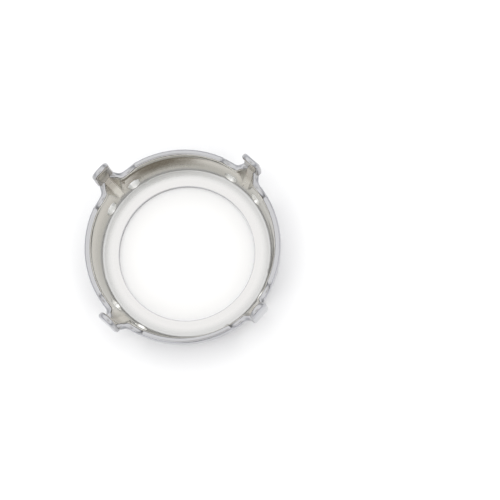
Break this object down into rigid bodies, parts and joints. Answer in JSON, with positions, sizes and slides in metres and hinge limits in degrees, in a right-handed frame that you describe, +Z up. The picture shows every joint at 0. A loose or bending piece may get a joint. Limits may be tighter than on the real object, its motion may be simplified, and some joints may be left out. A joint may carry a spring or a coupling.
{
  "type": "sew-on setting",
  "caption": "Round pressed-metal cup setting with an open back, prongs that are bent over a pointed-back stone, and side holes for sewing it on.",
  "frame": {"origin": "middle of the back ring's lower face, on the cup's axis", "axes": "+Z up the cup's axis towards the prong tips; the prongs stand on the diagonals between the X and Y axes"},
  "size_m": [0.013, 0.013, 0.0057],
  "materials": {
    "silver_plate": "bright polished silver plate on brass"
  },
  "bodies": {
    "root": {"setting": "silver_plate"}
  },
  "joints": []
}
